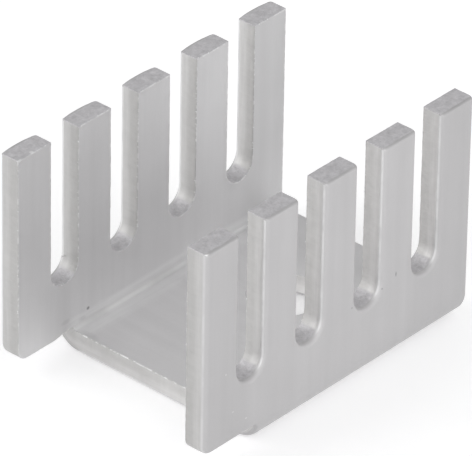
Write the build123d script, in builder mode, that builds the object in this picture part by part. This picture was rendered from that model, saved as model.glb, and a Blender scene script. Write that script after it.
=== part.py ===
"""Transistor heat sink: one U-shaped pressing of aluminium sheet with fingered walls.

Frame: X runs along the channel, with the lead end at -X. Y runs across the channel. Z is
up, with the underside of the web on z = 0. The origin is the middle of the footprint.
All sizes are in millimetres.
"""

from build123d import *

import os

# Sheet and its bends.
SHEET = 1.2
INNER_BEND_R = 0.25
OUTER_BEND_R = INNER_BEND_R + SHEET

# Channel, outside sizes.
WIDTH = 13.15
HEIGHT = 12.6

# Fingers of each wall and the round-bottomed slots between them.
FINGER_COUNT = 5
FINGER_WIDTH = 2.29
SLOT_WIDTH = 1.9
SLOT_DEPTH = 8.45
FINGER_PITCH = FINGER_WIDTH + SLOT_WIDTH
LENGTH = FINGER_COUNT * FINGER_PITCH - SLOT_WIDTH

# Lead end: the web stops short and each wall runs on as a flat wing, whose lower edge
# is level with the top of the web.
LEAD_SPACE = 3.84
WING_BOTTOM = SHEET
NOTCH_CORNER_R = 0.3
WING_CORNER_R = 0.3
LEAD_END = -LENGTH / 2
WEB_EDGE = LEAD_END + LEAD_SPACE

# Hole for the transistor's screw, on the centre line of the web.
HOLE_DIAMETER = 3.7
HOLE_FROM_WEB_EDGE = 9.27
HOLE_X = WEB_EDGE + HOLE_FROM_WEB_EDGE

# The punch draws the outer skin in along the cuts and leaves it rounded. The finger tips
# are sheared off afterwards, so their edges stay square.
DIE_ROLL_R = 0.17

# Cutting sketches run this far past the sheet.
OVERCUT = 1.0


def rim(skin):
    """Edges that bound only one face of the skin: its outline and every cut in it."""
    edges = [edge for face in skin for edge in face.edges()]
    return ShapeList(edge for edge in edges if edges.count(edge) == 1)


with BuildPart() as heat_sink_body:
    # Sheet bent to a channel: the outer skin's line, thickened inwards.
    with BuildSketch(Plane.YZ.offset(LEAD_END)) as section:
        with BuildLine():
            skin_line = FilletPolyline(
                (-WIDTH / 2, HEIGHT),
                (-WIDTH / 2, 0),
                (WIDTH / 2, 0),
                (WIDTH / 2, HEIGHT),
                radius=OUTER_BEND_R,
            )
            offset(skin_line, amount=SHEET, side=Side.LEFT)
        make_face()
    extrude(amount=LENGTH)

    # Lead end: the web and its bends are cut away between the walls.
    with BuildSketch(Plane.XZ):
        with Locations((LEAD_END - OVERCUT, -OVERCUT)):
            Rectangle(
                OVERCUT + LEAD_SPACE,
                OVERCUT + OUTER_BEND_R,
                align=(Align.MIN, Align.MIN),
            )
    extrude(amount=WIDTH / 2 - SHEET, both=True, mode=Mode.SUBTRACT)

    # The walls themselves are cut back to the wings' lower edge, in a rounded corner.
    with BuildSketch(Plane.XZ) as notch:
        with Locations((LEAD_END - OVERCUT, -OVERCUT)):
            Rectangle(
                OVERCUT + LEAD_SPACE,
                OVERCUT + WING_BOTTOM,
                align=(Align.MIN, Align.MIN),
            )
        fillet(
            notch.vertices().group_by(Axis.X)[-1].sort_by(Axis.Y)[-1],
            NOTCH_CORNER_R,
        )
    extrude(amount=WIDTH, both=True, mode=Mode.SUBTRACT)

    wing_tips = (
        heat_sink_body.edges()
        .filter_by(Axis.Y)
        .group_by(Axis.X)[0]
        .group_by(Axis.Z)[0]
    )
    fillet(wing_tips, WING_CORNER_R)

    # Slots through both walls, which leave the fingers.
    with BuildSketch(Plane.XZ.offset(-WIDTH / 2 - OVERCUT)) as slots:
        with Locations((0, HEIGHT)):
            with GridLocations(FINGER_PITCH, 0, FINGER_COUNT - 1, 1):
                SlotOverall(2 * SLOT_DEPTH, SLOT_WIDTH, rotation=90)
    extrude(amount=WIDTH + 2 * OVERCUT, mode=Mode.SUBTRACT)

    # Screw hole.
    with Locations(Plane.XY.offset(SHEET)):
        with Locations((HOLE_X, 0)):
            Hole(HOLE_DIAMETER / 2)

    # Die roll along every edge of the outer skin but those of the finger tips.
    walls = heat_sink_body.faces().filter_by(Axis.Y)
    skin = (
        walls.group_by(Axis.Y)[0]
        + walls.group_by(Axis.Y)[-1]
        + heat_sink_body.faces().group_by(Axis.Z)[0]
        + heat_sink_body.faces()
        .filter_by(GeomType.CYLINDER)
        .filter_by(lambda face: abs(face.radius - OUTER_BEND_R) < 1e-6)
    )
    tip_edges = rim(skin).group_by(Axis.Z)[-1]
    fillet(rim(skin) - tip_edges, DIE_ROLL_R)

heat_sink_body.part.label = "heat_sink_body"
os.makedirs("parts", exist_ok=True)
export_step(heat_sink_body.part, "parts/heat_sink_body.step")
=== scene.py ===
"""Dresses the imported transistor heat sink: pressed blank, folded body, finish and stage.

Lengths are in metres. X runs along the channel with the lead end at -X, Y across it and Z
up. In the flat blank, X is the same, "run" is the distance along the outer skin from the
middle of the web, and "depth" goes into the sheet from its outer skin.
"""

import math

import bpy
import numpy as np
from bpy.props import (
    FloatProperty,
    FloatVectorProperty,
    IntProperty,
    PointerProperty,
)
from bpy.types import Operator, Panel, PropertyGroup
from mathutils import Matrix, Vector
from mathutils.geometry import delaunay_2d_cdt


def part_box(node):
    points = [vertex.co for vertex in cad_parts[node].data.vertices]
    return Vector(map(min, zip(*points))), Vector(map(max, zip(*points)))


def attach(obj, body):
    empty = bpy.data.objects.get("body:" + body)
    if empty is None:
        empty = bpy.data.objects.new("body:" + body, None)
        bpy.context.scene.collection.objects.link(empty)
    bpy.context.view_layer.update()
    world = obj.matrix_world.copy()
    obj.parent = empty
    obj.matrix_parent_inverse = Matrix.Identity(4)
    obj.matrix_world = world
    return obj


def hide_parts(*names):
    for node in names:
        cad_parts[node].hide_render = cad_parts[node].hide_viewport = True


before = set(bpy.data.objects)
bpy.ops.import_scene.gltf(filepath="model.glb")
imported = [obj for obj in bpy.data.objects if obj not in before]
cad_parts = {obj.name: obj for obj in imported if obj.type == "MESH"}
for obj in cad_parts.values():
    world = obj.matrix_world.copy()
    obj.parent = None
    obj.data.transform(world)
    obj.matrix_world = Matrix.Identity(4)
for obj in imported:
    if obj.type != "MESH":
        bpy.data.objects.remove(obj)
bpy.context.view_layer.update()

bl_info = {
    "name": "Transistor Heat Sink",
    "version": (1, 0, 0),
    "blender": (4, 5, 0),
    "location": "3D View > Sidebar > Heat Sink",
    "description": "Presses and folds a fingered heat sink and lights it",
    "category": "Object",
}

MM = 0.001
NODE = "heat_sink_body"
LOW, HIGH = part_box(NODE)
LENGTH, WIDTH, HEIGHT = HIGH - LOW


# Settings


class PressingSizes(PropertyGroup):
    """Sizes of the sheet, its folds and its cuts."""

    sheet: FloatProperty(
        name="Sheet",
        description="Thickness of the sheet",
        default=1.2 * MM,
        unit="LENGTH",
    )
    inner_bend: FloatProperty(
        name="Inner bend radius",
        description="Radius on the inside of the two folds",
        default=0.25 * MM,
        unit="LENGTH",
    )
    finger_count: IntProperty(
        name="Fingers", description="Fingers on each wall", default=5, min=2
    )
    slot_width: FloatProperty(
        name="Slot width",
        description="Width of the slots between the fingers",
        default=1.9 * MM,
        unit="LENGTH",
    )
    slot_depth: FloatProperty(
        name="Slot depth",
        description="Depth of the slots from the finger tips",
        default=8.45 * MM,
        unit="LENGTH",
    )
    lead_space: FloatProperty(
        name="Lead space",
        description="Length by which the wings pass the edge of the web",
        default=3.84 * MM,
        unit="LENGTH",
    )
    notch_radius: FloatProperty(
        name="Notch radius",
        description="Radius of the corner between each wing and the edge of the web",
        default=0.3 * MM,
        unit="LENGTH",
    )
    wing_radius: FloatProperty(
        name="Wing radius",
        description="Radius of the lower corner of each wing",
        default=0.6 * MM,
        unit="LENGTH",
    )
    hole: FloatProperty(
        name="Screw hole",
        description="Diameter of the hole in the web",
        default=3.7 * MM,
        unit="LENGTH",
    )
    hole_from_edge: FloatProperty(
        name="Hole from web edge",
        description="Distance of the hole's centre from the edge of the web",
        default=9.27 * MM,
        unit="LENGTH",
    )
    die_roll: FloatProperty(
        name="Die roll",
        description="Reach of the rounding along the punched edges of the outer skin",
        default=0.30 * MM,
        unit="LENGTH",
    )
    tip_roll: FloatProperty(
        name="Tip roll",
        description="Depth by which the shear has rounded the outer edge of the tips",
        default=0.09 * MM,
        unit="LENGTH",
    )
    burr: FloatProperty(
        name="Burr",
        description="Greatest height of the burr along the edges of the inner skin",
        default=0.028 * MM,
        unit="LENGTH",
    )
    tear: FloatProperty(
        name="Tear",
        description="Roughness of the torn part of the cut edges",
        default=0.02 * MM,
        unit="LENGTH",
    )
    crumb: FloatProperty(
        name="Crumb size",
        description="Radius of a crumb of burr before it is stretched",
        default=0.030 * MM,
        unit="LENGTH",
    )
    crumb_density: FloatProperty(
        name="Crumb density",
        description="Crumbs of burr on a square metre of the crisp inner edges",
        default=3.2e7,
        min=0.0,
    )
    seed: IntProperty(
        name="Seed", description="Seed of the burr and the tear", default=4
    )


class FinishColours(PropertyGroup):
    """Colours of the bare metal."""

    mill: FloatVectorProperty(
        name="Mill finish",
        description="Colour of the rolled outer skin",
        subtype="COLOR",
        size=3,
        default=(0.57, 0.563, 0.568),
    )
    # Painted light: the inner skin is lighter than the outer skin, so that the shaded
    # inside of the channel comes out about as bright as the outside.
    inner: FloatVectorProperty(
        name="Inner skin",
        description="Colour of the inner skin, which the punch has rubbed lighter",
        subtype="COLOR",
        size=3,
        default=(0.69, 0.685, 0.69),
    )
    cut: FloatVectorProperty(
        name="Cut along the grain",
        description="Colour of a cut that runs along the rolled grain",
        subtype="COLOR",
        size=3,
        default=(0.69, 0.683, 0.677),
    )
    across: FloatVectorProperty(
        name="Cut across the grain",
        description="Colour of a cut across the rolled grain, which comes out rougher",
        subtype="COLOR",
        size=3,
        default=(0.65, 0.64, 0.655),
    )
    # The rubbed colour also serves the painted highlights, sheen and glints.
    rubbed: FloatVectorProperty(
        name="Rubbed metal",
        description="Colour where a tool has rubbed the metal bright",
        subtype="COLOR",
        size=3,
        default=(0.90, 0.90, 0.90),
    )
    torn: FloatVectorProperty(
        name="Torn metal",
        description="Colour of the torn part of a cut edge",
        subtype="COLOR",
        size=3,
        default=(0.61, 0.603, 0.595),
    )
    # Also the colour of one painted shade line among the marks.
    specks_and_painted_shade: FloatVectorProperty(
        name="Specks",
        description="Colour of small marks and specks",
        subtype="COLOR",
        size=3,
        default=(0.13, 0.13, 0.14),
    )
    roughness: FloatProperty(
        name="Roughness",
        description="Roughness of the rolled skin",
        default=0.60,
        min=0.05,
        max=1.0,
        subtype="FACTOR",
    )


class StageSettings(PropertyGroup):
    """Floor, lights and camera."""

    floor: FloatVectorProperty(
        name="Floor",
        description="Colour of the floor",
        subtype="COLOR",
        size=3,
        default=(0.97, 0.97, 0.975),
    )
    lift: FloatProperty(
        name="Floor lift",
        description="Added white where the floor is seen directly or mirrored",
        default=0.25,
        min=0.0,
    )
    room_light: FloatProperty(
        name="Room light",
        description="Strength of the even light from all round",
        default=0.47,
        min=0.0,
    )
    from_lead_end: FloatProperty(
        name="Glow from the lead end",
        description="Added strength of the soft light that the lead end faces",
        default=0.28,
        min=0.0,
    )
    from_far_end: FloatProperty(
        name="Glow from the far end",
        description="Added strength of the soft light that the far end faces",
        default=0.50,
        min=0.0,
    )
    from_front: FloatProperty(
        name="Glow from the front",
        description="Added strength of the soft light that the front wall faces",
        default=0.85,
        min=0.0,
    )
    key: FloatProperty(
        name="Key light",
        description="Power of the large soft light behind the lead end",
        default=0.40,
        subtype="POWER",
    )
    front: FloatProperty(
        name="Front light",
        description="Power of the soft light beside the camera",
        default=0.28,
        subtype="POWER",
    )


# Node building


class Wire:
    """One output of a node tree, so that node maths reads as an expression."""

    def __init__(self, board, socket):
        self.board = board
        self.socket = socket

    def maths(self, operation, *values):
        return self.board.maths(operation, self, *values)

    def __add__(self, other):
        return self.maths("ADD", other)

    def __radd__(self, other):
        return self.board.maths("ADD", other, self)

    def __sub__(self, other):
        return self.maths("SUBTRACT", other)

    def __rsub__(self, other):
        return self.board.maths("SUBTRACT", other, self)

    def __mul__(self, other):
        return self.maths("MULTIPLY", other)

    def __rmul__(self, other):
        return self.board.maths("MULTIPLY", other, self)

    def __truediv__(self, other):
        return self.maths("DIVIDE", other)

    def __rtruediv__(self, other):
        return self.board.maths("DIVIDE", other, self)

    def __pow__(self, other):
        return self.maths("POWER", other)

    def __abs__(self):
        return self.maths("ABSOLUTE")

    def least(self, other):
        return self.maths("MINIMUM", other)

    def most(self, other):
        return self.maths("MAXIMUM", other)

    def rise(self, start, end):
        """0 before start, 1 after end, and a smooth step between them."""
        return self.board.node(
            "ShaderNodeMapRange",
            {"interpolation_type": "SMOOTHSTEP", "clamp": True},
            {"Value": self, "From Min": start, "From Max": end},
        )

    def band(self, centre, half_width):
        """1 at centre, falling smoothly to 0 at half_width on each side of it."""
        return 1 - abs(self - centre).rise(0.0, half_width)


class Board:
    """A node tree that is being wired."""

    def __init__(self, tree):
        self.tree = tree

    def node(self, kind, settings=None, values=None, output=0):
        """Adds a node; its settings come first, then the values or links of its sockets."""
        made = self.tree.nodes.new(kind)
        for name, setting in (settings or {}).items():
            setattr(made, name, setting)
        for key, value in (values or {}).items():
            if isinstance(value, Wire):
                self.tree.links.new(value.socket, made.inputs[key])
            else:
                made.inputs[key].default_value = value
        return Wire(self, made.outputs[output])

    def end(self, kind, wire):
        """Adds the tree's output node and links a wire to its first socket."""
        out = self.tree.nodes.new(kind)
        self.tree.links.new(wire.socket, out.inputs[0])

    def maths(self, operation, *values):
        """Adds a Math node on wires and plain numbers."""
        return self.node(
            "ShaderNodeMath", {"operation": operation}, dict(enumerate(values))
        )

    def vector(self, x, y, z):
        return self.node("ShaderNodeCombineXYZ", None, {0: x, 1: y, 2: z})

    def split(self, vector):
        made = self.node("ShaderNodeSeparateXYZ", None, {0: vector})
        outputs = made.socket.node.outputs
        return tuple(Wire(self, socket) for socket in outputs)

    def move(self, operation, *vectors):
        """Vector Math on vectors, or on a vector and a scale."""
        values = dict(enumerate(vectors))
        if operation == "SCALE":
            values = {0: vectors[0], "Scale": vectors[1]}
        output = 1 if operation in ("LENGTH", "DISTANCE") else 0
        return self.node(
            "ShaderNodeVectorMath", {"operation": operation}, values, output
        )

    def blend(self, factor, first, second):
        """Mixes two colours."""
        return self.node(
            "ShaderNodeMix",
            {"data_type": "RGBA", "clamp_factor": True},
            {0: factor, 6: first, 7: second},
            2,
        )

    def noise(self, place, scale=1.0, detail=3.0, roughness=0.6, w=0.0):
        """Noise from 0 to 1, where another w gives another pattern."""
        return self.node(
            "ShaderNodeTexNoise",
            {"noise_dimensions": "4D"},
            {
                "Vector": place,
                "W": w,
                "Scale": scale,
                "Detail": detail,
                "Roughness": roughness,
            },
        )


def cleared(owner):
    """The emptied node tree of a material or a world, ready to be wired."""
    owner.use_nodes = True
    owner.node_tree.nodes.clear()
    return Board(owner.node_tree)


# The flat blank


# Distance between samples along the cuts, on the flats and round the bends.
EDGE_STEP = 0.13 * MM
FLAT_STEP = 0.42 * MM
BEND_STEP = 0.12 * MM

# Where the rings of a cut lie between the roll and the inner skin, as shares of the way.
CUT_RINGS = (0.10, 0.24, 0.38, 0.48, 0.60, 0.73, 0.85)


class Blank:
    """Places and sizes of the flat blank, worked out from the settings."""

    def __init__(self, sizes):
        self.outer_bend = sizes.inner_bend + sizes.sheet
        self.half_web = WIDTH / 2 - self.outer_bend
        self.bend_run = self.outer_bend * math.pi / 2
        self.tip_run = self.half_web + self.bend_run + HEIGHT - self.outer_bend
        self.wing_run = self.tip_run - (HEIGHT - sizes.sheet)
        self.lead_end = LOW.x
        self.far_end = HIGH.x
        self.web_edge = self.lead_end + sizes.lead_space
        self.hole_x = self.web_edge + sizes.hole_from_edge
        count = sizes.finger_count
        self.finger = (LENGTH - (count - 1) * sizes.slot_width) / count
        self.pitch = self.finger + sizes.slot_width

    def corners(self, sizes):
        """The blank's corners, counter-clockwise, each as (x, run, radius)."""
        tips = []
        for index in range(sizes.finger_count):
            left = self.lead_end + index * self.pitch
            right = left + self.finger
            tips.append((left, -self.tip_run, 0.0))
            tips.append((right, -self.tip_run, 0.0))
            if index < sizes.finger_count - 1:
                floor = -self.tip_run + sizes.slot_depth
                tips.append((right, floor, sizes.slot_width / 2))
                tips.append((right + sizes.slot_width, floor, sizes.slot_width / 2))
        mirrored = [(x, -run, radius) for x, run, radius in reversed(tips)]
        wing = [
            (self.lead_end, self.wing_run, sizes.wing_radius),
            (self.web_edge, self.wing_run, sizes.notch_radius),
            (self.web_edge, -self.wing_run, sizes.notch_radius),
            (self.lead_end, -self.wing_run, sizes.wing_radius),
        ]
        return tips + mirrored + wing

    def nub(self, sizes):
        """Where a burr stands out from the second rear finger into the first slot."""
        height = 4.91 * MM
        reach = 0.09 * MM
        run = self.half_web + self.bend_run + height - self.outer_bend
        return (self.lead_end + self.pitch - reach, run, sizes.die_roll)

    def at_tips(self, points):
        """Which points are on the finger tips, and how far along them, from 0 to 1."""
        tolerance = 0.001 * MM
        past_finger = 1.01
        on_tip = np.abs(points[:, 1]) > self.tip_run - tolerance
        along = (points[:, 0] - self.lead_end) % self.pitch / self.finger
        return on_tip, np.where(along > past_finger, 0.0, along)


def rounded_loop(corners, step):
    """Samples a closed line with rounded corners: its points, and its inward normals."""
    arc_step = step * 0.6
    fewest = 6
    points, normals = [], []
    count = len(corners)
    trimmed = []
    for index in range(count):
        here = np.array(corners[index][:2])
        before = np.array(corners[index - 1][:2]) - here
        after = np.array(corners[(index + 1) % count][:2]) - here
        before /= np.linalg.norm(before)
        after /= np.linalg.norm(after)
        radius = corners[index][2]
        start, end = here + before * radius, here + after * radius
        trimmed.append((start, end, here + (before + after) * radius, radius))
    for index in range(count):
        start, end, centre, radius = trimmed[index]
        if radius == 0:
            points.append(centre)
            normals.append(np.zeros(2))
        else:
            turn_from = start - centre
            turn_to = end - centre
            arc_steps = max(fewest, int(math.ceil(radius * math.pi / 2 / arc_step)))
            first = math.atan2(turn_from[1], turn_from[0])
            sweep = math.atan2(turn_to[1], turn_to[0]) - first
            sweep = (sweep + math.pi) % (2 * math.pi) - math.pi
            inward = -1 if sweep > 0 else 1
            for k in range(arc_steps + 1):
                angle = first + sweep * k / arc_steps
                ray = np.array([math.cos(angle), math.sin(angle)])
                points.append(centre + ray * radius)
                normals.append(ray * inward)
        following = trimmed[(index + 1) % count][0]
        gap = following - end
        length = np.linalg.norm(gap)
        if length > step * 0.5:
            side = np.array([-gap[1], gap[0]]) / length
            runs = max(1, int(round(length / step)))
            for k in range(1, runs):
                points.append(end + gap * k / runs)
                normals.append(side)
    points, normals = np.array(points), np.array(normals)
    apart = np.linalg.norm(points - np.roll(points, 1, axis=0), axis=1) > step * 0.01
    return points[apart], normals[apart]


def roll_share(line, inward):
    """How far the die roll reaches: the front wall's far-side edges are sharper."""
    fade = 8 * MM
    sharper = 0.62
    front = np.clip(0.5 - line[:, 1] / fade, 0, 1)
    return 1 - sharper * front * np.clip(-inward[:, 0], 0, 1)


def hole_loop(centre_x, radius, step):
    """Samples the hole clockwise, so that the metal is on the left as on the outline."""
    count = int(round(2 * math.pi * radius / step))
    angle = -np.arange(count) * 2 * math.pi / count
    ray = np.stack([np.cos(angle), np.sin(angle)], 1)
    return ray * radius + np.array([centre_x, 0.0]), ray


def edge_profile(sizes):
    """How a cut edge goes through the sheet, as (inset, inset at a tip, depth)."""
    roll, tip_roll, sheet = sizes.die_roll, sizes.tip_roll, sizes.sheet
    flat_rim = 0.07 * MM
    inner_edge = 0.034 * MM
    inner_mid = 0.010 * MM
    inner_rim = 0.10 * MM
    profile = [(roll + flat_rim, tip_roll + flat_rim, 0.0), (roll, tip_roll, 0.0)]
    for degrees in (22.5, 45.0, 67.5):
        turn = math.radians(degrees)
        left_over = 1 - math.sin(turn)
        depth = roll - roll * math.cos(turn)
        profile.append((roll * left_over, tip_roll * left_over, depth))
    profile.append((0.0, 0.0, roll))
    for share in CUT_RINGS:
        profile.append((0.0, 0.0, roll + (sheet - roll) * share))
    profile.append((0.0, 0.0, sheet - inner_edge))
    profile.append((inner_mid, inner_mid, sheet - inner_mid))
    profile.append((inner_edge, inner_edge, sheet))
    profile.append((inner_rim, inner_rim, sheet))
    return profile


def inside(points, loop):
    """Which points are inside a closed loop."""
    x, y = points[:, 0], points[:, 1]
    hits = np.zeros(len(points), bool)
    for a, b in zip(loop, np.roll(loop, -1, axis=0)):
        if a[1] == b[1]:
            continue
        crosses = (a[1] > y) != (b[1] > y)
        hits ^= crosses & (x < (b[0] - a[0]) * (y - a[1]) / (b[1] - a[1]) + a[0])
    return hits


def nearest_gap(points, others):
    """Distance from each point to the nearest of the others."""
    batch = 500
    found = np.empty(len(points))
    for start in range(0, len(points), batch):
        part = points[start : start + batch]
        squares = ((part[:, None, :] - others[None]) ** 2).sum(2)
        found[start : start + batch] = np.sqrt(squares.min(1))
    return found


def field_points(blank, rim, hole_rim):
    """Points inside the blank for its skins: coarse on the flats, fine on the bends."""
    room_on_folds = 0.07 * MM
    room_on_flats = 0.17 * MM
    start, end = blank.half_web, blank.half_web + blank.bend_run
    web = np.linspace(0, start, int(start / FLAT_STEP) + 1)[:-1]
    fold = np.linspace(start, end, int(blank.bend_run / BEND_STEP) + 1)
    wall_steps = int((blank.tip_run - end) / FLAT_STEP)
    wall = np.linspace(end, blank.tip_run, wall_steps + 1)[1:]
    half = np.concatenate([web[1:], fold, wall])
    runs = np.concatenate([-half[::-1], [0.0], half])
    across = np.linspace(blank.lead_end, blank.far_end, int(LENGTH / FLAT_STEP) + 1)
    grid = np.array([(x, run) for run in runs for x in across])
    grid = grid[inside(grid, rim) & ~inside(grid, hole_rim)]
    gap = nearest_gap(grid, np.concatenate([rim, hole_rim]))
    far = np.abs(grid[:, 1])
    on_folds = (far > start - FLAT_STEP) & (far < end + FLAT_STEP)
    return grid[gap > np.where(on_folds, room_on_folds, room_on_flats)]


def skin_triangles(rim, hole_rim, field):
    """Triangulates a skin. Indices run over the rim, the hole's rim and the field."""
    unit = 1 / MM
    weld = 1e-6
    sliver = 1e-9
    flat = np.concatenate([rim, hole_rim, field]) * unit
    count, hole_count = len(rim), len(hole_rim)
    edges = [(i, (i + 1) % count) for i in range(count)]
    edges += [(count + i, count + (i + 1) % hole_count) for i in range(hole_count)]
    result = delaunay_2d_cdt(
        [Vector(point) for point in flat], edges, [], 0, weld, True
    )
    places, faces, sources = result[0], result[2], result[3]
    if len(places) != len(flat):
        raise RuntimeError("the skin's triangulation added or lost points")
    source = np.array([ids[0] for ids in sources])
    triangles = source[np.array(faces)]
    middle = flat[triangles].mean(1)
    metal = inside(middle, rim * unit) & ~inside(middle, hole_rim * unit)
    triangles = triangles[metal]
    a, b, c = (flat[triangles[:, k]] for k in range(3))
    turn = (b - a)[:, 0] * (c - a)[:, 1] - (b - a)[:, 1] * (c - a)[:, 0]
    triangles[turn < 0] = triangles[turn < 0][:, ::-1]
    return triangles[np.abs(turn) > sliver]


def blank_loops(blank, sizes):
    """The outline and the hole, each as (line, inward, tips' inward, outward, on a tip).

    The tips' inward comes twice, first for the rolled part, which is domed.
    """
    tip_zone = 1.2 * MM
    bulge = 1.6
    outline, inward = rounded_loop(blank.corners(sizes), EDGE_STEP)
    hole, hole_in = hole_loop(blank.hole_x, sizes.hole / 2, EDGE_STEP * 0.8)
    on_tip, along = blank.at_tips(outline)
    inward[on_tip] = np.column_stack([1 - 2 * along, 0 * along])[on_tip]
    below_tip = blank.tip_run - np.abs(outline[:, 1])
    hold = np.clip(1 - below_tip / tip_zone, 0, 1)
    tip_in = np.column_stack([0 * hold, -np.sign(outline[:, 1]) * hold])
    dome = bulge * np.abs(1 - 2 * along) ** 3 * roll_share(outline, inward)
    domed_in = tip_in * (1 + dome)[:, None]
    outward = np.where(on_tip[:, None], -tip_in, -inward)
    no_tip = np.zeros(len(hole), bool)
    still = np.zeros_like(hole)
    return [
        (outline, inward, (domed_in, tip_in), outward, on_tip),
        (hole, hole_in, (still, still), -hole_in, no_tip),
    ]


def wall_quads(counts, rings):
    """Quads between the rings, where each ring has loops of these counts of points."""
    total = sum(counts)
    quads = []
    for ring in range(rings - 1):
        offset = ring * total
        for count in counts:
            here = offset + np.arange(count)
            following = offset + (np.arange(count) + 1) % count
            quads.append(
                np.column_stack([here, following, following + total, here + total])
            )
            offset += count
    return np.concatenate(quads)


def blank_mesh(sizes):
    """The cut blank, flat, with its rolled and torn edges, as a closed mesh."""
    blank = Blank(sizes)
    loops = blank_loops(blank, sizes)
    profile = edge_profile(sizes)
    rings = len(profile)
    counts = [len(loop[0]) for loop in loops]
    total = sum(counts)

    places, outward, cut, tip, from_edge = [], [], [], [], []
    for ring, (inset, tip_inset, depth) in enumerate(profile):
        for line, inward, tip_ways, out, sheared in loops:
            rolled = depth < sizes.die_roll
            tip_way = tip_ways[0 if rolled else 1]
            reach = roll_share(line, inward) if rolled else np.ones(len(line))
            spot = line + inward * (inset * reach)[:, None] + tip_way * tip_inset
            places.append(np.column_stack([spot, np.full(len(spot), depth)]))
            outward.append(np.column_stack([out, np.zeros(len(spot))]))
            on_cut = sizes.die_roll <= depth < sizes.sheet
            cut.append(np.full(len(spot), 1.0 if on_cut else 0.0))
            tip.append(sheared * (1.0 if ring and depth < sizes.sheet else 0.0))
            from_edge.append(np.full(len(spot), inset))

    faces = wall_quads(counts, rings).tolist()
    edge_line = np.concatenate([loop[0] for loop in loops])
    first_free = rings * total
    for ring, facing in ((0, -1), (rings - 1, 1)):
        rim = np.array(places[ring * len(loops)])[:, :2]
        hole_rim = np.array(places[ring * len(loops) + 1])[:, :2]
        depth = profile[ring][2]
        field = field_points(blank, rim, hole_rim)
        ids = np.concatenate(
            [ring * total + np.arange(total), first_free + np.arange(len(field))]
        )
        triangles = ids[skin_triangles(rim, hole_rim, field)]
        faces += (triangles if facing > 0 else triangles[:, ::-1]).tolist()
        places.append(np.column_stack([field, np.full(len(field), depth)]))
        outward.append(np.zeros((len(field), 3)))
        cut.append(np.zeros(len(field)))
        tip.append(np.zeros(len(field)))
        from_edge.append(nearest_gap(field, edge_line))
        first_free += len(field)

    mesh = bpy.data.meshes.new("blank")
    mesh.from_pydata(np.concatenate(places).tolist(), [], faces)
    for name, kind, key, data in (
        ("outward", "FLOAT_VECTOR", "vector", np.concatenate(outward)),
        ("cut", "FLOAT", "value", np.concatenate(cut)),
        ("tip", "FLOAT", "value", np.concatenate(tip)),
        ("from_edge", "FLOAT", "value", np.concatenate(from_edge) / MM),
    ):
        attribute = mesh.attributes.new(name, kind, "POINT")
        attribute.data.foreach_set(key, np.asarray(data, np.float32).ravel())
    mesh.validate()
    mesh.update()
    return mesh


# Geometry nodes


# Stretch of the one larger flake, in the first rear slot.
NUB_STRETCH = (5.0, 1.4, 1.6)

FOLD_INPUTS = (
    ("Width", "NodeSocketFloat"),
    ("Sheet", "NodeSocketFloat"),
    ("Outer bend", "NodeSocketFloat"),
    ("Web edge", "NodeSocketFloat"),
    ("Burr", "NodeSocketFloat"),
    ("Tear", "NodeSocketFloat"),
    ("Crumb density", "NodeSocketFloat"),
    ("Crumb size", "NodeSocketFloat"),
    ("Nub", "NodeSocketVector"),
    ("Seed", "NodeSocketInt"),
    ("Finish", "NodeSocketMaterial"),
)


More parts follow.
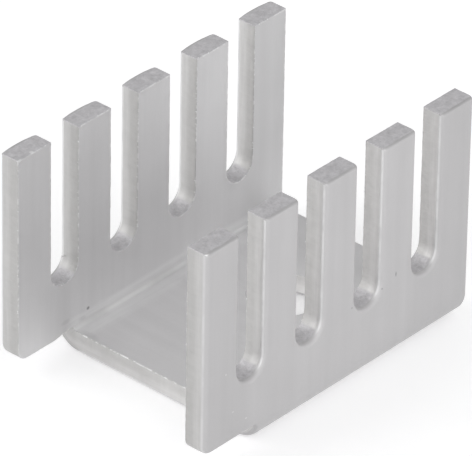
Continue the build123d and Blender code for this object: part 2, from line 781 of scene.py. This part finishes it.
def fold_tree():
    """Geometry nodes that roughen the blank's cut edges, add burr crumbs and fold it."""
    tree = bpy.data.node_groups.new("fold_pressing", "GeometryNodeTree")
    tree.interface.new_socket(
        "Geometry", in_out="INPUT", socket_type="NodeSocketGeometry"
    )
    for name, kind in FOLD_INPUTS:
        tree.interface.new_socket(name, in_out="INPUT", socket_type=kind)
    tree.interface.new_socket(
        "Geometry", in_out="OUTPUT", socket_type="NodeSocketGeometry"
    )
    board = Board(tree)
    entry = board.node("NodeGroupInput").socket.node
    given = {
        socket.name: Wire(board, socket) for socket in entry.outputs if socket.name
    }
    width, sheet, outer_bend = given["Width"], given["Sheet"], given["Outer bend"]
    seed = given["Seed"]

    def named(name, kind="FLOAT"):
        return board.node(
            "GeometryNodeInputNamedAttribute", {"data_type": kind}, {"Name": name}
        )

    # Ragged edges: the torn zone, the burr and a slight waviness of every cut.
    place = board.node("GeometryNodeInputPosition")
    x, run, depth = board.split(place)
    outward = named("outward", "FLOAT_VECTOR")
    share = depth / sheet
    torn = share.rise(0.5, 0.72) * (1 - share.rise(0.985, 1.0) * 0.4)
    stripes = board.vector(x, run, depth * 0.35)
    tooth = board.noise(stripes, 1900.0, w=seed) - 0.5
    wave = board.noise(place, 420.0, detail=1.0, roughness=0.5, w=seed + 7) - 0.5
    cut = named("cut")
    web_edge = given["Web edge"]
    half_web = width * 0.5 - outer_bend
    along_web = 1 - (abs(run) - half_web).rise(0.0, 0.8 * MM)
    at_web_edge = (x - web_edge).band(0.0, 0.4 * MM) * along_web
    rougher = 1 + at_web_edge * 0.9
    push = cut * (tooth * torn * 2.0 + wave * 0.9) * given["Tear"] * rougher
    at_inner_skin = share.rise(0.93, 0.99)
    lip = board.noise(place, 1500.0, detail=2.0, w=seed + 13).rise(0.42, 0.75)
    fringe = (1 - named("from_edge").rise(0.012, 0.09)) * at_inner_skin
    lift = fringe * (0.25 + lip * 0.75 + at_web_edge * lip) * given["Burr"]
    ragged = board.move("SCALE", outward, push)
    ragged = board.move("ADD", ragged, board.vector(0.0, 0.0, lift))
    rough_blank = board.node(
        "GeometryNodeSetPosition",
        None,
        {"Geometry": given["Geometry"], "Offset": ragged},
    )

    # Burr crumbs: small flakes of metal that cling to the crisp inner edges.
    edge_point = board.node(
        "FunctionNodeCompare",
        {"data_type": "FLOAT", "operation": "LESS_THAN"},
        {0: named("from_edge") + (1 - share) * 3.0, 1: 0.09},
    )
    edge_only = board.node(
        "GeometryNodeSeparateGeometry",
        {"domain": "POINT"},
        {"Geometry": rough_blank, "Selection": edge_point},
    )
    spots = board.node(
        "GeometryNodeDistributePointsOnFaces",
        {"distribute_method": "RANDOM"},
        {"Mesh": edge_only, "Density": given["Crumb density"], "Seed": seed},
    )
    flake = board.node(
        "GeometryNodeMeshIcoSphere",
        None,
        {"Radius": given["Crumb size"], "Subdivisions": 2},
    )
    flake_place = board.node("GeometryNodeInputPosition")
    dent = board.noise(flake_place, 26000.0, detail=1.0, roughness=0.5, w=seed + 3) - 0.5
    bent_flake = board.node(
        "GeometryNodeSetPosition",
        None,
        {
            "Geometry": flake,
            "Offset": board.move("SCALE", flake_place, dent * 1.3),
        },
    )
    turn = board.node(
        "FunctionNodeRandomValue",
        {"data_type": "FLOAT_VECTOR"},
        {"Max": (math.tau, math.tau, math.tau), "Seed": seed + 1},
    )
    stretch = board.node(
        "FunctionNodeRandomValue",
        {"data_type": "FLOAT_VECTOR"},
        {"Min": (0.35, 0.35, 0.3), "Max": (1.6, 1.1, 0.7), "Seed": seed + 2},
    )
    flakes = board.node(
        "GeometryNodeInstanceOnPoints",
        None,
        {"Points": spots, "Instance": bent_flake, "Rotation": turn, "Scale": stretch},
    )
    nub_spot = board.node(
        "GeometryNodePoints", None, {"Count": 1, "Position": given["Nub"]}
    )
    nub = board.node(
        "GeometryNodeInstanceOnPoints",
        None,
        {"Points": nub_spot, "Instance": bent_flake, "Scale": NUB_STRETCH},
    )
    loose = board.node("GeometryNodeJoinGeometry")
    tree.links.new(nub.socket, loose.socket.node.inputs[0])
    tree.links.new(flakes.socket, loose.socket.node.inputs[0])
    crumbs = board.node("GeometryNodeRealizeInstances", None, {"Geometry": loose})
    crumbs = board.node(
        "GeometryNodeStoreNamedAttribute",
        {"data_type": "FLOAT", "domain": "POINT"},
        {"Geometry": crumbs, "Name": "crumb", "Value": 1.0},
    )
    joined = board.node("GeometryNodeJoinGeometry")
    join_input = joined.socket.node.inputs[0]
    tree.links.new(crumbs.socket, join_input)
    tree.links.new(rough_blank.socket, join_input)
    kept = board.node(
        "GeometryNodeStoreNamedAttribute",
        {"data_type": "FLOAT_VECTOR", "domain": "POINT"},
        {
            "Geometry": joined,
            "Name": "flat_place",
            "Value": board.move("SCALE", place, 1 / MM),
        },
    )

    # The fold: round the two bends, with the wings left flat to their lower edges.
    far = abs(run)
    side = run.maths("SIGN")
    past_web = far - half_web
    angle = (past_web / outer_bend).most(0.0).least(math.pi / 2)
    climb = past_web - outer_bend * (math.pi / 2)
    radius = outer_bend - depth
    bent_y = far.least(half_web) + radius * angle.maths("SINE")
    bent_z = outer_bend - radius * angle.maths("COSINE") + climb.most(0.0)
    bent = (x - web_edge).rise(-1.3 * MM, -0.3 * MM)
    flat_y = width * 0.5 - depth
    flat_z = outer_bend + climb
    folded = board.vector(
        x,
        side * (flat_y + (bent_y - flat_y) * bent),
        flat_z + (bent_z - flat_z) * bent,
    )
    on_wall = (far - half_web - outer_bend * 0.5).rise(-0.01 * MM, 0.01 * MM)
    straight = board.vector(x, side * bent_y, bent_z)
    chosen = board.node(
        "ShaderNodeMix",
        {"data_type": "VECTOR", "clamp_factor": True},
        {0: on_wall, 4: straight, 5: folded},
        1,
    )
    pressing = board.node(
        "GeometryNodeSetPosition", None, {"Geometry": kept, "Position": chosen}
    )
    real = board.node("GeometryNodeRealizeInstances", None, {"Geometry": pressing})
    done = board.node(
        "GeometryNodeSetMaterial",
        None,
        {"Geometry": real, "Material": given["Finish"]},
    )
    board.end("NodeGroupOutput", done)
    return tree


def run_tree(mesh, tree, values, name):
    """Runs a tree on a mesh and gives the result as a plain object at the origin."""
    carrier = bpy.data.objects.new(name, mesh)
    bpy.context.scene.collection.objects.link(carrier)
    modifier = carrier.modifiers.new("fold", "NODES")
    modifier.node_group = tree
    for item in tree.interface.items_tree:
        if item.in_out == "INPUT" and item.name in values:
            modifier[item.identifier] = values[item.name]
    bpy.context.view_layer.update()
    evaluated = carrier.evaluated_get(bpy.context.evaluated_depsgraph_get())
    result = bpy.data.meshes.new_from_object(evaluated)
    carrier.modifiers.remove(modifier)
    carrier.data = result
    result.name = name
    bpy.data.meshes.remove(mesh)
    return carrier


# Finish


# Small marks seen on the part: centre in millimetres, reach along X, Y and Z, strength.
# A positive strength is a dark speck or smudge, and a negative one is a bright rub; the
# painted shade and the painted glints among them are marked below.
MARKS = (
    ((4.14, -6.57, 5.07), (0.035, 0.2, 0.15), 0.8),
    ((3.17, -6.57, 4.68), (0.06, 0.2, 0.05), 0.4),
    ((0.95, -6.57, 4.66), (0.06, 0.2, 0.06), 0.35),
    ((-4.61, 5.38, 1.96), (0.11, 0.2, 0.10), 0.65),
    ((2.25, 5.38, 8.66), (0.30, 0.2, 0.26), 0.25),
    ((-6.2, 5.38, 1.9), (0.34, 0.3, 0.16), 0.11),
    ((-5.0, 5.38, 1.55), (0.30, 0.3, 0.14), 0.11),
    # Painted shade: a dark line along the web's top edge by the rear bend, under the burr
    # lip.
    ((-5.45, 4.50, 1.22), (0.26, 0.60, 0.20), 0.10),
    ((-8.05, -6.57, 5.26), (0.05, 0.2, 0.07), -0.35),
    ((-6.57, -6.57, 2.08), (0.08, 0.2, 0.05), -0.35),
    ((-7.51, -6.57, 2.89), (0.06, 0.2, 0.05), -0.35),
    # Painted glint on the corner of the first rear finger's tip.
    ((-9.42, 5.30, 12.58), (0.16, 0.16, 0.13), -1.0),
    ((-8.49, 5.45, 12.6), (0.14, 0.14, 0.08), -0.7),
    # Painted glint on the corner of the first front finger's tip.
    ((-9.47, -6.52, 12.56), (0.20, 0.14, 0.06), -1.0),
)


def small_marks(board, place, grain):
    """Masks of the dark and of the bright small marks, with painted shade and painted
    glints among them.
    """
    dark, bright = 0.0, 0.0
    for centre, extent, strength in MARKS:
        offset = board.move("DIVIDE", board.move("SUBTRACT", place, centre), extent)
        near = 1 - (board.move("LENGTH", offset) + grain * 0.35).rise(0.35, 1.25)
        if strength > 0:
            dark = near * strength + dark
        else:
            bright = near * -strength + bright
    return dark, bright


def aluminium_finish(colours, sizes):
    """Bare rolled aluminium: cut faces, rubbed edges, streaks, grain and small marks, with
    painted light, shade and highlights.
    """
    material = bpy.data.materials.new("rolled_aluminium")
    board = cleared(material)

    def attribute(name, output=2):
        return board.node(
            "ShaderNodeAttribute", {"attribute_name": name}, None, output
        )

    def colour(values):
        return (*values, 1.0)

    def shaded(values, shade):
        return board.move("SCALE", tuple(values), shade)

    flat = attribute("flat_place", 1)
    x, run, depth = board.split(flat)
    from_edge = attribute("from_edge")
    place = board.node("ShaderNodeTexCoord", None, None, "Object")
    solid = board.move("SCALE", place, 1 / MM)
    sheet = sizes.sheet / MM
    roll = sizes.die_roll / MM
    blank = Blank(sizes)
    half_web = blank.half_web / MM
    from_bend = abs(run) - half_web
    past_edge = x - blank.web_edge / MM
    share = depth / sheet

    # Rolling streaks follow the length of the strip, which runs up the walls.
    long_way = board.vector(x * 4.2, run * 0.16, depth * 0.5)
    streaks = board.noise(long_way, roughness=0.55, w=1.0) - 0.5
    broad_way = board.vector(x * 1.1, run * 0.07, depth)
    bands = board.noise(broad_way, detail=1.0, roughness=0.5, w=10.0) - 0.5
    clouds = board.noise(flat, 0.32, detail=2.0, roughness=0.5, w=2.0) - 0.5
    grain = board.noise(solid, 7.5, roughness=0.62, w=3.0) - 0.5
    fine = board.noise(solid, 24.0, detail=2.0, w=4.0) - 0.5

    # Which part of the pressing a point is on.
    tip = attribute("tip")
    on_tip = tip.rise(0.93, 0.97)
    tip_edge = depth + board.noise(flat, 3.5, detail=2.0, w=12.0) * 0.2
    cut_mask = attribute("cut").rise(0.4, 0.6) * (1 - on_tip)
    cut_mask = cut_mask.most(on_tip * tip_edge.rise(0.22, 0.32))
    _, outward_run, _ = board.split(attribute("outward", 1))
    across = cut_mask * abs(outward_run).rise(0.60, 0.78)
    along = cut_mask * (1 - across)
    torn = along * (share + clouds * 0.3).rise(0.42, 0.70)
    at_lead_end = 1 - (x - blank.lead_end / MM).rise(0.3, 0.5)
    lead_face = along * at_lead_end
    web_face = past_edge.band(0.0, 0.5) * (1 - from_bend.rise(-0.2, 0.6))
    hole_centre = (blank.hole_x / MM, 0.0, 0.0)
    from_hole = board.move("DISTANCE", board.vector(x, run, 0.0), hole_centre)
    hole_face = cut_mask * (1 - from_hole.rise(2.0, 2.1))
    on_inside = share.rise(0.80, 0.95) * (1 - cut_mask)

    # Cut faces: fine drag lines along the edge, faint ones through the sheet, mottling.
    drawn = board.noise(board.vector(x * 0.5, run * 0.5, depth * 8.0), w=5.0) - 0.5
    striae = board.noise(board.vector(x * 5.0, run * 5.0, depth * 0.6), w=9.0) - 0.5
    mottle = board.noise(flat, 2.0, w=13.0) - 0.5
    clods = board.noise(flat, 4.5, roughness=0.65, w=9.0) - 0.5

    # Burnished line where the punch came in, which also carries a painted highlight, and
    # the burr where it went out, with painted glints.
    broken = board.noise(flat, 0.9, w=6.0).rise(0.30, 0.62)
    in_fold = from_bend.rise(-0.4, 0.2) * (1 - from_bend.rise(2.4, 2.9))
    at_notch = past_edge.band(0.0, 0.9) * in_fold
    # Painted shade: the rolled edge where the web meets the wings is darkened, so it
    # mirrors less light.
    painted_notch_shade = at_notch * depth.rise(0.03, 0.08) * (1 - depth.rise(roll, roll * 1.8))
    # Painted highlight: a bright line just inside the rolled edge, weaker at the lead end,
    # along the tips and in the notch.
    edge_burnish_and_highlight = depth.band(roll * 0.62, 0.10) * (0.55 + broken * 0.45)
    edge_burnish_and_highlight = edge_burnish_and_highlight * (1 - at_lead_end * (0.30 + broken * 0.45)) * (1 - at_notch)
    edge_burnish_and_highlight = edge_burnish_and_highlight * (1 - tip.rise(0.1, 0.6))
    edge_burnish_and_highlight = edge_burnish_and_highlight * (1 - abs(outward_run).rise(0.6, 0.95) * 0.7)
    burr_line = share.rise(0.965, 0.995) * (1 - from_edge.rise(0.03, 0.11))
    burr_spots = board.noise(flat, 3.2, detail=2.0, w=7.0) + web_face * 0.04
    # Painted glints: bright spots along the burr, denser and stronger on the web's edge.
    burr_painted_glints = burr_line * burr_spots.rise(0.50, 0.60) * (0.35 + web_face * 0.65)

    # The fold's punch has burnished a broad uneven band inside each bend, which also holds
    # a painted sheen.
    bend_run = blank.bend_run / MM
    up_wall = (from_bend - bend_run).most(0.0)
    drag_way = board.vector(x * 0.30, (from_bend.least(0.0) + up_wall) * 4.0, 0.0)
    drags = board.noise(drag_way, w=8.0)
    in_channel = on_inside * past_edge.rise(-0.6, 0.4)
    beside_bend = (up_wall * 2.0).most(from_bend * -1.3)
    bend_band = (1 - beside_bend.rise(0.5, 1.30 + clouds * 1.6)) * in_channel
    past_middle = x.rise(-3.0, 1.5)
    # Burnish and painted sheen: a bright streaky band beside the bend, weaker past the
    # middle.
    bend_burnish_and_sheen = bend_band * (0.35 + drags.rise(0.30, 0.62) * 0.65)
    bend_burnish_and_sheen = bend_burnish_and_sheen * (1 - past_middle * 0.30)
    in_bend = (from_bend / bend_run - 0.5).band(0.0, 0.70) * in_channel
    # Painted light: the inside is lighter low in the channel and fades up the walls.
    painted_low_inside_light = in_channel * (1 - from_bend.rise(0.5, 7.0))

    low_wall = (1 - from_bend.rise(2.0, 7.0)) * (1 - on_inside)
    shade = 1 + streaks * 0.07 + bands * 0.10 + clouds * 0.08 + grain * 0.06
    shade = shade + fine * (0.05 + low_wall * 0.10)
    # Painted shade: the inner skin is darker towards the far end.
    painted_far_end_shade = x.rise(4.8, 8.0)
    outer_shade = shade * (1 - abs(x).rise(3.5, 8.0) * 0.05)
    # Painted shade in the crease of the inner bend, a little deeper past the middle.
    painted_crease_shade = in_bend * (0.38 + past_middle * 0.08)
    inner_shade = shade * (1 + painted_low_inside_light * 0.18 - painted_crease_shade - painted_far_end_shade * 0.14)
    # The inside takes the lighter inner colour, which is painted light for the shaded
    # channel.
    result = board.blend(
        on_inside, shaded(colours.mill, outer_shade), shaded(colours.inner, inner_shade)
    )
    # Painted light and shade on the cut faces: lighter towards the far end and more so in
    # the front wall's slots, darker at the lead end, and lighter on the web's edge and the
    # hole's wall.
    far_along = x.rise(-6.0, 8.0)
    front_slots = (1 - run.rise(-1.0, 1.0)) * (1 - lead_face)
    painted_light_level = 0.84 + far_along * 0.10 + front_slots * (0.08 + far_along * 0.05)
    painted_light_level = painted_light_level - lead_face * 0.04 + web_face * 0.08 + hole_face * 0.40
    cut_shade = 1 + drawn * 0.22 + striae * 0.08 + mottle * 0.12 + grain * 0.08
    cut_shade = cut_shade * painted_light_level
    result = board.blend(along, result, shaded(colours.cut, cut_shade))
    torn_shade = (1 + striae * 0.16 + mottle * 0.16 + grain * 0.16) * painted_light_level
    result = board.blend(torn * 0.7, result, shaded(colours.torn, torn_shade))
    across_shade = 1 + clods * 0.60 + mottle * 0.28 + grain * 0.15
    result = board.blend(across, result, shaded(colours.across, across_shade))
    rubbed = colour(colours.rubbed)
    result = board.move("SCALE", result, 1 - painted_notch_shade * 0.12)
    # These bright blends are partly burnish and partly painted highlight, sheen and glints.
    result = board.blend(edge_burnish_and_highlight * 0.75, result, rubbed)
    result = board.blend(bend_burnish_and_sheen * 0.62, result, rubbed)
    result = board.blend(burr_painted_glints, result, rubbed)
    result = board.blend(attribute("crumb") * 0.8, result, rubbed)

    # The dark marks include a painted shade line, and the bright ones painted glints.
    dark, bright = small_marks(board, solid, grain)
    result = board.blend(dark, result, colour(colours.specks_and_painted_shade))
    result = board.blend(bright, result, rubbed)

    roughness = (
        colours.roughness
        + grain * 0.10
        + streaks * 0.06
        + torn * 0.05
        + across * 0.08
        - along * 0.05
        - edge_burnish_and_highlight * 0.16
        - burr_painted_glints * 0.20
        - bright * 0.25
        - bend_burnish_and_sheen * 0.10
    )
    roughness = roughness.most(0.16).least(0.85)

    height = (
        grain * 0.0035
        + fine * (0.002 + low_wall * 0.002)
        + streaks * 0.003
        + along * (drawn * 0.012 + striae * 0.004 + mottle * 0.010)
        + torn * (striae * 0.012 + grain * 0.020)
        + across * (clods * 0.05 + grain * 0.015)
        + bend_band * (drags - 0.5) * 0.008
    )
    bump = board.node(
        "ShaderNodeBump",
        None,
        {"Strength": 1.0, "Distance": MM, "Height": height},
    )
    surface = board.node(
        "ShaderNodeBsdfPrincipled",
        None,
        {
            "Base Color": result,
            "Metallic": 1.0,
            "Roughness": roughness,
            "Normal": bump,
        },
    )
    board.end("ShaderNodeOutputMaterial", surface)
    return material


def floor_finish(settings):
    """Matt pale board with a faint tooth, lifted where it is seen or mirrored."""
    material = bpy.data.materials.new("pale_board")
    board = cleared(material)
    place = board.node("ShaderNodeTexCoord", None, None, "Object")
    tooth = board.noise(place, 900.0, detail=2.0, roughness=0.5) - 0.5
    shade = board.move("SCALE", tuple(settings.floor), 1 + tooth * 0.004)
    ways = board.node("ShaderNodeLightPath").socket.node.outputs
    shown = Wire(board, ways["Is Camera Ray"]).most(Wire(board, ways["Is Glossy Ray"]))
    shown = shown.most(Wire(board, ways["Is Transmission Ray"]))
    lift = board.blend(shown, (0.0, 0.0, 0.0, 1.0), (*[settings.lift] * 3, 1.0))
    surface = board.node(
        "ShaderNodeBsdfPrincipled",
        None,
        {
            "Base Color": shade,
            "Roughness": 0.9,
            "Specular IOR Level": 0.0,
            "Emission Color": lift,
            "Emission Strength": 1.0,
        },
    )
    board.end("ShaderNodeOutputMaterial", surface)
    return material


def studio_world(settings):
    """Even room light with a soft glow from the front and from both ends."""
    world = bpy.data.worlds.new("studio")
    board = cleared(world)
    x, y, _ = board.split(board.node("ShaderNodeTexCoord", None, None, "Generated"))
    glow = settings.room_light + x.least(0.0) ** 2 * settings.from_lead_end
    glow = glow + x.most(0.0) ** 2 * settings.from_far_end
    glow = glow + y.least(0.0) ** 2 * settings.from_front
    backdrop = board.vector(glow, glow, glow)
    background = board.node("ShaderNodeBackground", None, {"Color": backdrop})
    board.end("ShaderNodeOutputWorld", background)
    return world


# Operators


SHARP_ANGLE = math.radians(50)

# Half the floor's side, and how far it lies below the part.
FLOOR_REACH = 3.0
FLOOR_GAP = 0.02 * MM

# The soft lights: where they stand, and the length of their sides.
KEY_PLACE = (-0.22, 0.19, 0.20)
KEY_SIZE = 0.30
FRONT_PLACE = (-0.28, -0.30, 0.16)
FRONT_SIZE = 0.20

# The camera: its place and the directions of its right, up and back, fitted to the photo.
CAMERA_PLACE = (-0.2249564, -0.1973245, 0.1999123)
CAMERA_RIGHT = (0.66601748, -0.74579545, 0.01448672)
CAMERA_UP = (0.39643823, 0.37034862, 0.8400468)
CAMERA_BACK = (-0.63186822, -0.55374276, 0.54232048)
CAMERA_LENS = 567.781
CAMERA_SENSOR = 36.0
CAMERA_SHIFT = (-0.006727, -0.000409)
CAMERA_CLIP = (0.01, 20.0)


class HEATSINK_OT_pressing(Operator):
    """Cut the blank, fold it and give it its finish"""

    bl_idname = "heatsink.pressing"
    bl_label = "Press and Fold Body"

    def execute(self, context):
        sizes = context.scene.pressing_sizes
        blank = Blank(sizes)
        finish = aluminium_finish(context.scene.finish_colours, sizes)
        values = {
            "Width": float(WIDTH),
            "Sheet": sizes.sheet,
            "Outer bend": blank.outer_bend,
            "Web edge": float(blank.web_edge),
            "Burr": sizes.burr,
            "Tear": sizes.tear,
            "Crumb density": sizes.crumb_density,
            "Crumb size": sizes.crumb,
            "Nub": blank.nub(sizes),
            "Seed": sizes.seed,
            "Finish": finish,
        }
        body = run_tree(blank_mesh(sizes), fold_tree(), values, "pressed_body")
        mesh = body.data
        if not mesh.polygons:
            raise RuntimeError("the folded body came out empty")
        mesh.shade_smooth()
        mesh.set_sharp_from_angle(angle=SHARP_ANGLE)
        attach(body, "root")
        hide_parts(NODE)
        return {"FINISHED"}


def aim(obj, target):
    """Turns a light so that it shines at a point."""
    direction = Vector(target) - obj.location
    obj.rotation_mode = "QUATERNION"
    obj.rotation_quaternion = direction.to_track_quat("-Z", "Y")


def softbox(name, location, target, size, power):
    """A square area light."""
    light = bpy.data.lights.new(name, "AREA")
    light.shape = "SQUARE"
    light.size = size
    light.energy = power
    lamp = bpy.data.objects.new(name, light)
    lamp.location = location
    bpy.context.scene.collection.objects.link(lamp)
    aim(lamp, target)


class HEATSINK_OT_stage(Operator):
    """Add the floor, the lights and the camera"""

    bl_idname = "heatsink.stage"
    bl_label = "Set the Stage"

    def execute(self, context):
        settings = context.scene.stage_settings
        scene = context.scene

        corners = [(-1, -1), (1, -1), (1, 1), (-1, 1)]
        mesh = bpy.data.meshes.new("floor")
        mesh.from_pydata(
            [(x * FLOOR_REACH, y * FLOOR_REACH, 0.0) for x, y in corners],
            [],
            [(0, 1, 2, 3)],
        )
        floor = bpy.data.objects.new("floor", mesh)
        floor.location.z = LOW.z - FLOOR_GAP
        scene.collection.objects.link(floor)
        mesh.materials.append(floor_finish(settings))

        scene.world = studio_world(settings)

        centre = (0.0, 0.0, HEIGHT / 2)
        softbox("key_light", KEY_PLACE, centre, KEY_SIZE, settings.key)
        softbox("front_light", FRONT_PLACE, centre, FRONT_SIZE, settings.front)

        lens = bpy.data.cameras.new("camera")
        lens.sensor_fit = "HORIZONTAL"
        lens.sensor_width = CAMERA_SENSOR
        lens.lens = CAMERA_LENS
        lens.shift_x, lens.shift_y = CAMERA_SHIFT
        lens.clip_start, lens.clip_end = CAMERA_CLIP
        camera = bpy.data.objects.new("camera", lens)
        axes = Matrix((CAMERA_RIGHT, CAMERA_UP, CAMERA_BACK)).transposed()
        camera.matrix_world = Matrix.Translation(CAMERA_PLACE) @ axes.to_4x4()
        scene.collection.objects.link(camera)
        scene.camera = camera
        scene.view_settings.view_transform = "Standard"
        return {"FINISHED"}


class HEATSINK_PT_panel(Panel):
    """Settings and steps of the heat sink"""

    bl_idname = "HEATSINK_PT_panel"
    bl_label = "Heat Sink"
    bl_space_type = "VIEW_3D"
    bl_region_type = "UI"
    bl_category = "Heat Sink"

    def draw(self, context):
        layout = self.layout
        for label, group in GROUPS.items():
            box = layout.box()
            box.label(text=label)
            settings = getattr(context.scene, group)
            for name in settings.__annotations__:
                box.prop(settings, name)
        for operator in STEPS:
            layout.operator(operator.bl_idname)


GROUPS = {
    "Pressing": "pressing_sizes",
    "Finish": "finish_colours",
    "Stage": "stage_settings",
}
STEPS = (HEATSINK_OT_pressing, HEATSINK_OT_stage)
CLASSES = (PressingSizes, FinishColours, StageSettings, *STEPS, HEATSINK_PT_panel)


def register():
    for cls in CLASSES:
        bpy.utils.register_class(cls)
    bpy.types.Scene.pressing_sizes = PointerProperty(type=PressingSizes)
    bpy.types.Scene.finish_colours = PointerProperty(type=FinishColours)
    bpy.types.Scene.stage_settings = PointerProperty(type=StageSettings)


def unregister():
    del bpy.types.Scene.stage_settings
    del bpy.types.Scene.finish_colours
    del bpy.types.Scene.pressing_sizes
    for cls in reversed(CLASSES):
        bpy.utils.unregister_class(cls)


def main():
    register()
    bpy.ops.heatsink.pressing()
    bpy.ops.heatsink.stage()


if __name__ == "__main__":
    main()
